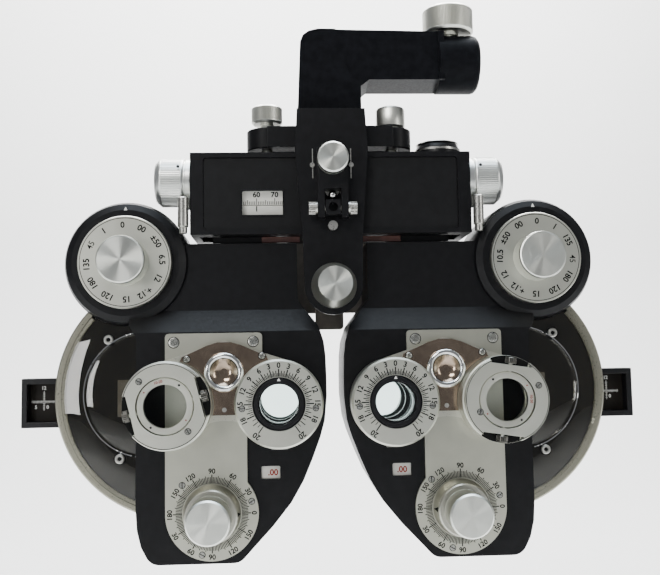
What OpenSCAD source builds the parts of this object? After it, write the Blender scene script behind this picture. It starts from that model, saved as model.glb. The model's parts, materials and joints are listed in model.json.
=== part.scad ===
// Phoropter (refractor head) for an eye test: two lens-carrying heads hang from a levelling
// bridge, and a hanger arm holds the whole instrument on a stand.
// +X is the examiner's right, -Y faces the examiner, +Z is up.  The origin lies on the axis of
// the stand bore.  Inside the file the parts are drawn about the mid-point of the two sight axes,
// and the parts of a head are drawn for the right-hand side and mirrored for the left.

/* [Optics] */
// Distance between the two sight axes at rest
pd = 60; // [59:0.5:62]
// Radius of the clear sight apertures
sight_r = 10; // [8:0.5:10]
// Number of stations in each sphere lens disc
sphere_stations = 12; // [8:1:12]
// Number of stations in each auxiliary lens disc
aux_stations = 12; // [8:1:12]

/* [Heads] */
// Thickness of each head from its front face to its back face
head_d = 48; // [47:1:54]
// Wall thickness of the cast head shells
wall = 3; // [2:0.5:3.5]
// Height of the head's top face above the sight axes
head_top = 86.8; // [84:0.2:87]
// Depth of the step between the lower and the upper front face
front_step = 9; // [7:0.5:9]

/* [Sphere wheel] */
// Outer radius of the knurled sphere wheel
wheel_r = 68.3; // [67.5:0.1:68.5]
// Number of grooves around the sphere wheel
wheel_grooves = 90; // [40:2:120]

/* [Bridge] */
// Half of the width of the bridge housing
bridge_hw = 77.4; // [76:0.2:77.6]
// Radius of the guide rails
rail_r = 4; // [3:0.5:4]

/* [Hanger] */
// Radius of the bore that takes the stand arm
stand_r = 9.5; // [8:0.5:10]
// Length of the stand bore
stand_len = 44; // [38:1:46]
// Width of the hanger's upright post
post_w = 35.8; // [34:0.2:36]

/* [Hidden] */
$fn = 64;

LEFT = -1;
RIGHT = 1;
eps = 0.5;               // overlap that joins two shapes of one solid
fit = 0.05;              // radial running clearance of a shaft in its bore
gap = 0.4;               // clearance between faces that move past each other
origin_at = [62, 22, 192];   // middle of the stand bore, seen from the sight axes

// Places of the mechanisms on the right head, as [x, z]
sight_at = [pd / 2, 0];
wheel_at = [84, 5];
aux_at = [112.4, 76.4];
axis_at = [65.9, -57.3];
turret_at = [58.8, 16.5];
unit_at = [turret_at[0] * 2 - pd / 2, 0];
window_at = [35, -37];
dome_at = [101.7, 5.2];  // raised disc of the wheel window
step_z = [38, 50];       // bottom and top of the slope below the stepped-back face
pivot_at = [52, 22];     // [x, y] of the upright axis on which the head converges

// Depths along Y
split_y = 30;            // joint between the front and the back shell
wheel_y = 14.5;          // front of the sphere wheel
wheel_w = 14.5;          // width of the sphere wheel
web_y = 20;              // front of the lens disc in the sphere wheel
aux_y = 36;              // front of the auxiliary lens disc
plate_t = 2;             // thickness of the base plate
arm_y = -5;              // front of the turret arm
unit_back = -5.4;        // back of the rotating units
unit_r = 22.8;           // radius of the rotating units
barrel_r = 13.6;         // radius of the prism barrel
flip_y = -19.6;          // plane of the cross cylinder's flip axis
lens_ring_r = norm(sight_at - wheel_at);

// Bridge and hanger
bridge_z = [91, 136.4];  // bottom and top of the bridge housing
bridge_y = [3, 43];      // front and back of the bridge housing
panel_y = 3.8;           // front of the recessed panel
rail_z = [99, 129];
rail_y = 34;
screw_at = [22, 123.4];  // [y, z] of the interpupillary screw
level_z = 113.9;         // height of the levelling pivot
rest_z = 61.6;           // height of the forehead rest's spindle
bracket_y = [-4, 0];     // front and back of the bracket plate
holder_at = [-8.5, 103]; // [y, z] of the near rod holder's hinge
clamp_z = 128.4;         // height of the near rod's clamp knob
yoke_z = [140.3, 152.2];
yoke_x = 35.3;           // distance of the levelling screws from the centre line
post_z = 208.6;          // top of the hanger post
lever_at = [80.9, 8];    // [x, y] of the convergence lever's hinge
lever_y = 1.4;           // the lever hangs in front of its hinge
lever_z = 108.5;         // height of the convergence lever's hinge

module place() {
    translate(-origin_at) children();
}

module on_side(side) {
    place() mirror([side == LEFT ? 1 : 0, 0, 0]) children();
}

// A cylinder along +Y that starts at [x, y, z]
module rod_y(r, len, at) {
    translate(at) rotate([-90, 0, 0]) cylinder(r = r, h = len);
}

// A cylinder along +X that starts at [x, y, z]
module rod_x(r, len, at) {
    translate(at) rotate([0, 90, 0]) cylinder(r = r, h = len);
}

// A closed profile of [radius, y] points turned about the line along Y through [x, z]
module turned(points, at) {
    translate([at[0], 0, at[1]]) rotate([90, 0, 0])
        rotate_extrude($fn = 96) polygon([for (p = points) [p[0], -p[1]]]);
}

// A flat outline in X and Z, given thickness from y0 to y1
module slab(y0, y1) {
    translate([0, y1, 0]) rotate([90, 0, 0]) linear_extrude(y1 - y0) children();
}

module block(low, high) {
    translate(low) cube(high - low);
}

// A rounded rectangle between two corners
module round_rect(low, high, r) {
    translate([low[0] + r, low[1] + r])
        offset(r = r, $fn = 32) square([high[0] - low[0] - 2 * r, high[1] - low[1] - 2 * r]);
}

// Vee grooves around an upright knob of radius r, from height z0 to z1
module grooves(r, n, size, z0, z1) {
    for (i = [0:n - 1])
        rotate([0, 0, i * 360 / n]) translate([r + size / 4, 0, z0]) rotate([0, 0, 45])
            translate([-size / 2, -size / 2, 0]) cube([size, size, z1 - z0]);
}

// The same grooves around a knob whose axis runs along Y through [x, z]
module grooves_y(r, n, size, y0, y1, at) {
    translate([at[0], y1, at[1]]) rotate([90, 0, 0]) grooves(r, n, size, 0, y1 - y0);
}

// ---------------------------------------------------------------- hanger

module hanger_arm() {
    hw = post_w / 2;
    arm_z = [179.5, 207.5];
    color("#26262a") place() difference() {
        union() {
            slab(8, 36) polygon([[-hw, 159.2], [hw, 159.2], [hw, arm_z[0] - 4],
                [hw + 5, arm_z[0]], [66, arm_z[0]], [66, arm_z[1]], [0, post_z],
                [-6, post_z], [-11, post_z - 1.2], [-14.4, post_z - 3.6],
                [-16, post_z - 7.6]]);
            rod_x(16.6, 20.5, [63.2, 22, 192]);
            translate([83.7 - eps, 22, 192]) rotate([0, 90, 0]) rotate_extrude($fn = 96)
                polygon([[0, 0], [16.6, 0], [16.1, 2], [14.6, 3.4], [0, 3.5]]);
        }
        slab(7, 9.2) polygon([[3.7, 210], [11, 184], [hw + eps, 176], [62.6, 176], [62.6, 210]]);
        rod_x(stand_r, stand_len + 2, [86.7 - stand_len, 22, 192]);
        translate([70.9, 22, 197]) cylinder(r = 4 + fit, h = 14);
    }
}

module hanger_bracket() {
    color("#222226") place() difference() {
        union() {
            slab(bracket_y[0], bracket_y[1]) polygon([[-18.6, 159], [-19.9, 135.6], [-16.4, 92.4],
                for (a = [180:15:360]) [15.6 * cos(a), rest_z + 15.6 * sin(a)],
                [16.4, 92.4], [19.9, 135.6], [18.6, 159]]);
            block([-17, -eps, yoke_z[1]], [17, 38, 159]);
            block([-8.2, -12.4, 97.5], [8.2, bracket_y[0] + eps, 135.4]);
            rod_y(8, 20 + eps, [0, -eps, rest_z]);
        }
        block([-4.4, -14, 93], [4.4, bracket_y[0], 113]);
        rod_x(1.5 + fit, 20, [-10, holder_at[0], holder_at[1]]);
        rod_y(3 + fit, 12, [0, -13, clamp_z]);
        rod_y(4 + fit, 10, [0, -5, level_z]);
        rod_y(6 + fit, 3, [0, -4.5, rest_z]);
        rod_y(4 + fit, 30, [0, -4.5, rest_z]);
    }
}

// Hinge screws of the near rod holder, its rest pin and the two bracket screws
module bracket_screws() {
    color("#8d8d88") place() union() {
        for (s = [-1, 1])
            mirror([s < 0 ? 1 : 0, 0, 0]) {
                rod_x(1.5, 5.5, [3, holder_at[0], holder_at[1]]);
                difference() {
                    rod_x(3.4, 4.6, [8.3, holder_at[0], holder_at[1]]);
                    for (i = [0:17])
                        translate([9.4, holder_at[0], holder_at[1]]) rotate([i * 20, 0, 0])
                            translate([0, 3.5, 0]) rotate([45, 0, 0])
                                translate([0, -0.35, -0.35]) cube([5, 0.7, 0.7]);
                }
            }
        rod_y(2.6, 2.6, [0, bracket_y[0] - 2.6, 94]);
        for (x = [-10.6, 10.6])
            rod_y(1.3, 0.8, [x, bracket_y[0] - 0.8, 127.4]);
    }
}

module level_yoke() {
    color("#1f1f23") place() difference() {
        union() {
            block([-yoke_x, 6, yoke_z[0]], [yoke_x, 34, yoke_z[1] - 0.1]);
            for (x = [-yoke_x, yoke_x])
                translate([x, 20, yoke_z[0]]) cylinder(r = 11.5, h = yoke_z[1] - yoke_z[0] - 0.1);
        }
        for (x = [-yoke_x, yoke_x])
            translate([x, 18, yoke_z[0] - 1]) cylinder(r = 3 + fit, h = 14);
    }
}

module level_pivot_pin() {
    color("silver") place() rod_y(4, 28, [0, bracket_y[0] + 0.2, level_z]);
}

// A turned knob on an upright axis: fluted head, neck, and a shank that reaches downwards
module upright_knob(head_r, head_h, neck_r, neck_h, shank_r, shank_len, flutes) {
    difference() {
        rotate_extrude($fn = 96) polygon([[0, -shank_len], [shank_r, -shank_len], [shank_r, 0],
            [neck_r, 0], [neck_r, neck_h], [head_r - 1, neck_h], [head_r, neck_h + 1],
            [head_r, neck_h + head_h - 1.6], [head_r - 0.5, neck_h + head_h - 0.5],
            [head_r - 1.6, neck_h + head_h], [0, neck_h + head_h]]);
        if (flutes > 0)
            grooves(head_r, flutes, 0.8, neck_h + 1.5, neck_h + head_h - 2.2);
    }
}

module arm_clamp_knob() {
    color("silver") place() translate([70.9, 22, post_z + 0.1])
        upright_knob(14.6, 14.8, 6, 1.1, 4, 6.4, 72);
}

module level_knob() {
    color("silver") place() translate([-yoke_x, 18, yoke_z[1] + gap])
        upright_knob(8.7, 10.2, 3.8, 3, 3, 13.6, 40);
}

module level_lock_knob() {
    color("silver") place() translate([yoke_x, 18, yoke_z[1] + gap])
        upright_knob(8.2, 12, 6, 0.4, 3, 13.6, 0);
}

module rod_holder() {
    color("#8f8f8a") place() difference() {
        union() {
            rod_x(4, 8, [-4, holder_at[0], holder_at[1]]);
            block([-4, -12.4, holder_at[1] - 4], [4, holder_at[0], holder_at[1] + 4]);
        }
        for (x = [2.9, -6])
            rod_x(1.5 + fit, 3.1, [x, holder_at[0], holder_at[1]]);
        rod_y(2.5, 7, [0, -12.9, holder_at[1]]);
    }
}

module rod_clamp_knob() {
    y0 = -12.4 - gap;
    color("silver") place() difference() {
        turned([[0, y0 + 7], [3, y0 + 7], [3, y0], [7.6, y0], [8.25, y0 - 0.8], [8.25, y0 - 6.4],
            [7.2, y0 - 7.5], [0, y0 - 7.5]], [0, clamp_z]);
        grooves_y(8.25, 40, 0.8, y0 - 6.2, y0 - 1, [0, clamp_z]);
    }
}

// ---------------------------------------------------------------- bridge

module bridge_housing() {
    hw = bridge_hw;
    back = bridge_y[1] - 4;
    color("#1e1e22") place() difference() {
        block([-hw, bridge_y[0], bridge_z[0]], [hw, bridge_y[1], bridge_z[1]]);
        slab(bridge_y[0] - 1, panel_y + 2.2) round_rect([-70.3, 93.8], [70.3, 133.6], 2);
        difference() {
            block([-hw + 4, bridge_y[0] + 2, bridge_z[0] + 3], [hw - 4, back, bridge_z[1] - 3]);
            block([-17, 11, bridge_z[0]], [17, bridge_y[1], bridge_z[1]]);
            rod_y(9, 12, [0, panel_y + 2.3, level_z]);
        }
        for (s = [-1, 1])
            block([s * 51 - 22, 13, bridge_z[0] - 1], [s * 51 + 22, 33, bridge_z[0] + 4]);
        for (z = rail_z)
            rod_x(rail_r + 0.01, 2 * hw + 2, [-hw - 1, rail_y, z]);
        rod_x(5 + fit, 2 * hw + 2, [-hw - 1, screw_at[0], screw_at[1]]);
        rod_y(4 + fit, 26, [0, 2, level_z]);
        for (s = [-1, 1])
            rod_x(1.5 + fit, 8, [s * hw - 4, lever_at[1], lever_z]);
    }
}

module bridge_front_panel() {
    color("#232327") place() difference() {
        slab(panel_y, panel_y + 2) round_rect([-70.2, 93.9], [70.2, 133.5], 2);
        slab(panel_y - 1, panel_y + 3) round_rect([-49.1, 101.4], [-26.8, 115.3], 0.8);
        rod_y(4.4, 6, [0, 2, level_z]);
    }
}

module guide_rails() {
    color("#9a9a98") place() for (z = rail_z)
        rod_x(rail_r, 2 * bridge_hw - 3, [-bridge_hw + 1.5, rail_y, z]);
}

module spirit_level() {
    color("silver") place() translate([62.6, 22, bridge_z[1] + 0.05])
        rotate_extrude($fn = 96) polygon([[0, 0], [13.2, 0], [13.2, 2.4], [12.8, 4.6], [11.6, 7.2],
            [10.6, 8.2], [9.9, 8.2], [9.6, 7.6], [9.6, 4], [0, 4]]);
}

module pd_screw() {
    at = [0, screw_at[0], screw_at[1]];
    color("#a0a09c") place() difference() {
        rod_x(5, 2 * bridge_hw + 26, at - [bridge_hw + 13, 0, 0]);
        for (i = [0:15], s = [-1, 1])
            translate(at + [s * (22 + 3 * i), 0, 0]) rotate([0, 90, 0]) difference() {
                cylinder(r = 6, h = 1.2, center = true);
                cylinder(r = 4.2, h = 2, center = true);
            }
    }
}

module pd_knobs() {
    color("silver") place() for (s = [-1, 1])
        mirror([s < 0 ? 1 : 0, 0, 0])
            translate([bridge_hw + gap, screw_at[0], screw_at[1]]) rotate([0, 90, 0])
                difference() {
                    rotate_extrude($fn = 96) polygon([[5.01, 0], [12.8, 0], [13.4, 0.6],
                        [13.4, 3], [12.7, 3.4], [12.7, 4], [13.7, 4.6], [13.7, 18],
                        [11, 20.4], [0, 20.4], [0, 12.8], [5.01, 12.8]]);
                    grooves(13.7, 36, 1.4, 5.2, 22);
                }
}

module pd_scale_plate() {
    color("#d8d8cc") place() union() {
        block([-62, 7, 107.7], [-15, 8, 115.9]);
        block([-56, 7.5, 113.9], [-32, 14.5, 115.9]);
    }
}

module pd_pointer_plate() {
    color("#d8d8cc") place() union() {
        block([-60, 7, 100.9], [-22, 8, 107.4]);
        block([-23, 7, 100.9], [38, 8, 104.2]);
        block([32, 7.5, 100.9], [38, 14.5, 104.2]);
    }
}

module forehead_rest() {
    color("#3a3531") place() union() {
        rod_y(4, 52, [0, -1, rest_z]);
        slab(50.4, 54) round_rect([-8.4, 40], [8.4, 70], 2);
        slab(53.5, 58) round_rect([-24, 50], [24, 99], 8);
    }
}

module forehead_knob() {
    y0 = bracket_y[0] - gap;
    color("silver") place() turned([[0, y0 + 2.6], [6, y0 + 2.6], [6, y0], [11.6, y0],
        [12.2, y0 - 0.8], [12.2, y0 - 3], [9.4, y0 - 15.4], [8.8, y0 - 17], [0, y0 - 17]],
        [0, rest_z]);
}

// ---------------------------------------------------------------- carriage and lever

module carriage() {
    color("#4a2e26") difference() {
        union() {
            block([30, 14.5, 95.4], [57, 38.6, 133]);
            block([34, 14, 87.3], [62, 32, 96]);
            translate([pivot_at[0], pivot_at[1], 72]) cylinder(r = 5, h = 20);
        }
        for (z = rail_z)
            rod_x(rail_r + fit, 60, [20, rail_y, z]);
        rod_x(5.6, 60, [20, screw_at[0], screw_at[1]]);
    }
}

module convergence_lever() {
    hinge = [bridge_hw, lever_at[1], lever_z];
    color("silver") union() {
        rod_x(1.5, 4.5, hinge - [3.6, 0, 0]);
        rod_x(3, 6.2, hinge + [gap, 0, 0]);
        block(hinge + [gap, lever_y - 2.9 - lever_at[1], -3], hinge + [gap + 6.2, 0, 3]);
        translate([lever_at[0], lever_y, 91.4]) rotate_extrude() polygon([[0, 0], [1.9, 0],
            [2.2, 0.3], [2.2, 3.2], [2.9, 3.9], [2.9, 17], [0, 17]]);
    }
}

// ---------------------------------------------------------------- head shells

// Outline of one head, with x from the mid-plane and z from the sight axis
module head_outline() {
    offset(r = 8) offset(delta = -8)
        polygon([[19.4, head_top], [19.4, 55], [13, 46.5], [8.6, 40.7], [5.8, 32], [4.9, 24],
            [4.6, 12], [4.6, 2.6], [5.9, -10.1], [8.3, -18.6], [12.8, -30.4], [17.6, -41.5],
            [24.2, -52.8], [34, -64.8], [46.5, -78], [51.5, -83.4], [96.5, -83.4],
            [99.8, -80.5], [103.2, -74], [105.3, -65.5], [106, -55], [106, 36], [110.5, 42],
            [110.5, head_top]]);
    translate([19.4, 60]) square([91.1, head_top - 60]);
}

module aux_outline() {
    translate(aux_at) circle(r = 34, $fn = 128);
}

// The upper front of the head is stepped back, with a slope between the two levels
module front_cover() {
    color("#1c1c20") difference() {
        union() {
            difference() {
                slab(0, split_y) head_outline();
                rotate([90, 0, 90]) linear_extrude(130) polygon([[-1, step_z[0]],
                    [0, step_z[0]], [front_step, step_z[1]], [front_step, 99], [-1, 99]]);
            }
            turned([[0, 5], [29, 5], [32.4, 7], [34, 11], [34, split_y], [0, split_y]], aux_at);
        }
        difference() {
            slab(front_step + wall, split_y + 1) offset(delta = -wall) union() {
                head_outline();
                aux_outline();
            }
            translate([pivot_at[0], pivot_at[1], 60]) cylinder(r = 7.9, h = 40);
            rod_y(9, 4.6, [turret_at[0], 4, turret_at[1]]);
        }
        slab(wall, front_step + wall + 1) difference() {
            offset(delta = -wall) head_outline();
            translate([0, 34]) square([130, 130]);
            translate(turret_at) circle(r = 9);
            translate(axis_at) circle(r = 8);
        }
        translate([0, wheel_y - 1, 0]) slab(0, wheel_w + 2)
            translate(wheel_at) circle(r = wheel_r + 1, $fn = 128);
        rod_y(sight_r + 0.3, 60, [sight_at[0], -5, sight_at[1]]);
        rod_y(4 + fit, 60, [aux_at[0], -5, aux_at[1]]);
        rod_y(5 + fit, 40, [turret_at[0], -5, turret_at[1]]);
        rod_y(3 + fit, 40, [axis_at[0], -5, axis_at[1]]);
        translate([pivot_at[0], pivot_at[1], 71]) cylinder(r = 5 + fit, h = 30);
        slab(-1, wall + 1) round_rect(window_at - [5.1, 3.4], window_at + [5.1, 3.4], 0.8);
    }
}

module back_cover() {
    color("#1c1c20") difference() {
        union() {
            difference() {
                slab(split_y + 0.05, head_d) union() {
                    head_outline();
                    aux_outline();
                    intersection() {
                        translate(wheel_at) circle(r = wheel_r, $fn = 128);
                        translate([100, -80]) square([60, 160]);
                    }
                }
                slab(split_y - 1, head_d - wall) union() {
                    offset(delta = -wall) union() {
                        head_outline();
                        aux_outline();
                    }
                    translate(wheel_at) circle(r = wheel_r - 2, $fn = 128);
                }
            }
            rod_y(4, head_d - wheel_y - 2, [wheel_at[0], wheel_y + 1, wheel_at[1]]);
            turned([[sight_r + 1, head_d - 1], [14, head_d - 1], [14, head_d + 3],
                [12.6, head_d + 4], [sight_r + 1, head_d + 4]], sight_at);
        }
        rod_y(sight_r + 1, 60, [sight_at[0], 0, sight_at[1]]);
    }
}

module base_plate() {
    color("#b4b4a6") difference() {
        slab(-plate_t, -0.05) union() {
            round_rect([38.8, 8], [90.3, 37.2], 2);
            round_rect([47.3, -57.3], [90.3, 14], 1);
            translate(axis_at) circle(r = 24.4, $fn = 96);
        }
        for (x = [43.6, 85.7])
            rod_y(1.6, 10, [x, -5, 32.5]);
        rod_y(5 + fit, 10, [turret_at[0], -5, turret_at[1]]);
        rod_y(3 + fit, 10, [axis_at[0], -5, axis_at[1]]);
        rod_y(sight_r + 0.3, 10, [sight_at[0], -5, sight_at[1]]);
    }
}

module wheel_window() {
    color("#cfd6d8") difference() {
        union() {
            slab(12.1, 13.2) translate(wheel_at) circle(r = wheel_r - 4.6, $fn = 128);
            slab(9.4, 12.5) translate(dome_at) circle(r = 34);
        }
        slab(10.4, 14) translate(dome_at) circle(r = 33);
        slab(9, 14) union() {
            offset(delta = 0.15) head_outline();
            translate([0, -80]) square([106.15, 160]);
            translate(aux_at) circle(r = 34.15);
        }
        for (at = [[122.4, 34.9], [116.2, -29.2]])
            rod_y(1.3, 5, [at[0], 10, at[1]]);
    }
}

module vertex_sight() {
    color("#1a1a1d") difference() {
        union() {
            block([152.6, 34, -13.6], [176, 46, 14.2]);
            block([140, head_d + 0.05, -9], [164, head_d + 3, 9]);
            block([153.5, 45, -9], [164, head_d + 2, 9]);
        }
        block([155.4, 33, -10.4], [172.8, 41, 11]);
        block([159.5, 40, -7], [167.5, 52, 7.6]);
    }
}

// ---------------------------------------------------------------- lens discs and dials

module sphere_wheel() {
    rim = lens_ring_r + sight_r + 0.4;
    color("#a3a193") difference() {
        union() {
            turned([[rim, wheel_y], [wheel_r - 1, wheel_y], [wheel_r, wheel_y + 1],
                [wheel_r, wheel_y + wheel_w - 1], [wheel_r - 1, wheel_y + wheel_w],
                [rim, wheel_y + wheel_w]], wheel_at);
            turned([[4 + fit, web_y - 3], [9, web_y - 3], [9, web_y], [rim + eps, web_y],
                [rim + eps, web_y + 3], [9, web_y + 3], [9, web_y + 8], [4 + fit, web_y + 8]],
                wheel_at);
        }
        stations(sphere_stations) rod_y(sight_r, 9, [0, web_y - 3, 0]);
        grooves_y(wheel_r, wheel_grooves, 1.7, wheel_y + 1.4, wheel_y + wheel_w - 1.4, wheel_at);
    }
}

// Repeats a shape at every station of a lens disc, the first on the sight axis
module stations(n, first = 0) {
    at = sight_at - wheel_at;
    for (i = [first:n - 1])
        translate([wheel_at[0], 0, wheel_at[1]]) rotate([0, i * 360 / n, 0])
            translate([at[0], 0, at[1]]) children();
}

// The first station is open, and each of the others holds a lens
module sphere_lenses() {
    color("#cfe4e8") stations(sphere_stations, 1) rod_y(sight_r - 0.01, 1.6, [0, web_y + 0.7, 0]);
}

module aux_dial() {
    color("#b9b8ad") turned([[0, 33], [4, 33], [4, 4.6], [25.2, 4.6], [25.2, 2.2], [24.4, 1.4],
        [13.4, 1.4], [12.9, 0.2], [12.9, -10.4], [11.9, -11.6], [0, -11.6]], aux_at);
}

module aux_lens_disc() {
    color("#8c8c88") difference() {
        turned([[4 + fit, aux_y - 3], [10, aux_y - 3], [10, aux_y], [65.4, aux_y],
            [65.4, aux_y + 2.4], [10, aux_y + 2.4], [10, aux_y + 6], [4 + fit, aux_y + 6]],
            wheel_at);
        stations(aux_stations) rod_y(sight_r - 0.5, 9, [0, aux_y - 3, 0]);
    }
}

module axis_knob() {
    y0 = -plate_t - gap;
    color("#b9b8ad") difference() {
        turned([[3 + fit, y0], [15.1, y0], [15.1, y0 - 1], [13.2, y0 - 6.2], [13.2, y0 - 6.6],
            [13.8, y0 - 7.1], [13.8, y0 - 9.3], [13.1, y0 - 10], [3 + fit, y0 - 10]], axis_at);
        grooves_y(13.8, 72, 0.7, y0 - 8.9, y0 - 7.4, axis_at);
    }
}

module power_knob() {
    y0 = -plate_t - 10 - 2 * gap;
    color("silver") difference() {
        turned([[0, 14], [3, 14], [3, y0], [10.2, y0], [11.2, y0 - 1], [11.2, y0 - 15.6],
            [10.2, y0 - 17], [0, y0 - 17]], axis_at);
        grooves_y(11.2, 48, 0.8, y0 - 15.4, y0 - 1.4, axis_at);
    }
}

// ---------------------------------------------------------------- turret and its units

module turret_arm() {
    y1 = -plate_t - gap;
    color("#aeada0") difference() {
        union() {
            slab(arm_y, y1) {
                difference() {
                    hull() {
                        translate([turret_at[0], 29.5]) circle(r = 3.5, $fn = 32);
                        translate(sight_at) circle(r = unit_r - 0.2, $fn = 64);
                        translate(unit_at) circle(r = unit_r - 0.2, $fn = 64);
                    }
                    translate([turret_at[0], -38]) circle(r = 29, $fn = 96);
                }
                for (at = [sight_at, unit_at])
                    translate(at) circle(r = unit_r - 0.2, $fn = 96);
            }
            rod_y(5, 11, [turret_at[0], arm_y + 1, turret_at[1]]);
        }
        for (at = [sight_at, unit_at])
            rod_y(barrel_r + 0.2, 10, [at[0], -8, at[1]]);
    }
}

module turret_shield() {
    y1 = arm_y - 0.05;
    color("#6f5a48") union() {
        slab(y1 - 1.5, y1) difference() {
            polygon([for (p = [[24, 20.5], [22.5, 25.5], [5, 31.5], [-5, 31.5], [-22.5, 25.5],
                [-24, 20.5], [-14, 4], [-6.5, 0.5], [-6.5, -6], [6.5, -6], [6.5, 0.5], [14, 4]])
                [turret_at[0] + p[0], p[1]]]);
            for (at = [sight_at, unit_at])
                translate(at) circle(r = unit_r + 0.3);
        }
        turned([[0, y1 - 1], [10.4, y1 - 1], [10.4, y1 - 3], [9.4, y1 - 4.6], [8, y1 - 4.6],
            [6.8, y1 - 3.4], [4, y1 - 2.4], [0, y1 - 2]], turret_at);
    }
}

// Direction of the flip axis, as a turn about Y from the X axis
flip_tilt = [14, -81.5];

module flip_frame(side) {
    translate([unit_at[0], flip_y, unit_at[1]]) rotate([0, flip_tilt[side == LEFT ? 0 : 1], 0])
        children();
}

module cross_cyl_frame(side) {
    color("#b9b8ad") difference() {
        turned([[14.8, unit_back], [unit_r, unit_back], [unit_r, -18.2], [21.9, -18.8],
            [21.9, -22], [14.8, -22]], unit_at);
        flip_frame(side) for (s = [-1, 1]) {
            block([s * 20.6 - 2.7, -4, -10.5], [s * 20.6 + 2.7, 3.3, 10.5]);
            rod_x(1 + fit, 50, [-25, 0, 0]);
        }
    }
}

module cross_cyl_lens(side) {
    color("#b9b8ad") flip_frame(side) {
        rotate([90, 0, 0]) rotate_extrude($fn = 96) polygon([[11, -1.7], [14.3, -1.7],
            [14.3, 1.7], [11, 1.7], [11, 0.7], [0, 0.7], [0, -0.7], [11, -0.7]]);
        for (s = [-1, 1])
            rotate([0, s < 0 ? 180 : 0, 0]) {
                rod_x(1, 6, [13.9, 0, 0]);
                difference() {
                    rod_x(3, 3.2, [18.7, 0, 0]);
                    for (i = [0:17])
                        translate([18.2, 0, 0]) rotate([i * 20 + 5, 0, 0]) translate([0, 3.1, 0])
                            rotate([45, 0, 0]) translate([0, -0.35, -0.35]) cube([4.2, 0.7, 0.7]);
                }
            }
    }
}

module prism_dial() {
    color("#b9b8ad") difference() {
        turned([[barrel_r + fit, arm_y - 0.05], [unit_r, arm_y - 0.05], [unit_r, -20.2],
            [21.8, -21.4], [barrel_r + fit, -21.4]], sight_at);
        block([sight_at[0] - 4.6, -15.4, -26], [sight_at[0] + 4.6, -7, -16.2]);
        rod_x(0.8 + fit, 13, [sight_at[0] - 6.5, -11.2, -20.3]);
    }
}

module prism_barrel() {
    color("#131315") turned([[sight_r, unit_back], [barrel_r, unit_back], [barrel_r, -20.6],
        [12.6, -21.6], [sight_r + 0.8, -21.6], [sight_r + 0.8, -17.6], [sight_r, -17.6]],
        sight_at);
}

module prism_roller() {
    at = [sight_at[0], -11.2, -20.3];
    color("#8f8f8a") difference() {
        union() {
            rod_x(0.8, 12, at - [6, 0, 0]);
            rod_x(3.6, 8.6, at - [4.3, 0, 0]);
        }
        for (i = [0:17])
            translate(at - [5, 0, 0]) rotate([i * 20, 0, 0]) translate([0, 3.7, 0])
                rotate([45, 0, 0]) translate([0, -0.35, -0.35]) cube([10, 0.7, 0.7]);
    }
}

hanger_arm();
hanger_bracket();
bracket_screws();
level_yoke();
level_pivot_pin();
arm_clamp_knob();
level_knob();
level_lock_knob();
rod_holder();
rod_clamp_knob();
bridge_housing();
bridge_front_panel();
guide_rails();
spirit_level();
pd_screw();
pd_knobs();
pd_scale_plate();
pd_pointer_plate();
forehead_rest();
forehead_knob();
on_side(LEFT) carriage();  // left_carriage
on_side(LEFT) convergence_lever();  // left_convergence_lever
on_side(LEFT) front_cover();  // left_front_cover
on_side(LEFT) back_cover();  // left_back_cover
on_side(LEFT) base_plate();  // left_base_plate
on_side(LEFT) wheel_window();  // left_wheel_window
on_side(LEFT) vertex_sight();  // left_vertex_sight
on_side(LEFT) sphere_wheel();  // left_sphere_wheel
on_side(LEFT) sphere_lenses();  // left_sphere_lenses
on_side(LEFT) aux_dial();  // left_aux_dial
on_side(LEFT) aux_lens_disc();  // left_aux_lens_disc
on_side(LEFT) axis_knob();  // left_axis_knob
on_side(LEFT) power_knob();  // left_power_knob
on_side(LEFT) turret_arm();  // left_turret_arm
on_side(LEFT) turret_shield();  // left_turret_shield
on_side(LEFT) cross_cyl_frame(LEFT);  // left_cross_cyl_frame
on_side(LEFT) cross_cyl_lens(LEFT);  // left_cross_cyl_lens
on_side(LEFT) prism_dial();  // left_prism_dial
on_side(LEFT) prism_barrel();  // left_prism_barrel
on_side(LEFT) prism_roller();  // left_prism_roller
on_side(RIGHT) carriage();  // right_carriage
on_side(RIGHT) convergence_lever();  // right_convergence_lever
on_side(RIGHT) front_cover();  // right_front_cover
on_side(RIGHT) back_cover();  // right_back_cover
on_side(RIGHT) base_plate();  // right_base_plate
on_side(RIGHT) wheel_window();  // right_wheel_window
on_side(RIGHT) vertex_sight();  // right_vertex_sight
on_side(RIGHT) sphere_wheel();  // right_sphere_wheel
on_side(RIGHT) sphere_lenses();  // right_sphere_lenses
on_side(RIGHT) aux_dial();  // right_aux_dial
on_side(RIGHT) aux_lens_disc();  // right_aux_lens_disc
on_side(RIGHT) axis_knob();  // right_axis_knob
on_side(RIGHT) power_knob();  // right_power_knob
on_side(RIGHT) turret_arm();  // right_turret_arm
on_side(RIGHT) turret_shield();  // right_turret_shield
on_side(RIGHT) cross_cyl_frame(RIGHT);  // right_cross_cyl_frame
on_side(RIGHT) cross_cyl_lens(RIGHT);  // right_cross_cyl_lens
on_side(RIGHT) prism_dial();  // right_prism_dial
on_side(RIGHT) prism_barrel();  // right_prism_barrel
on_side(RIGHT) prism_roller();  // right_prism_roller
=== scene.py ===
import json
import math

import bmesh
import bpy
from mathutils import Matrix, Vector


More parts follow.
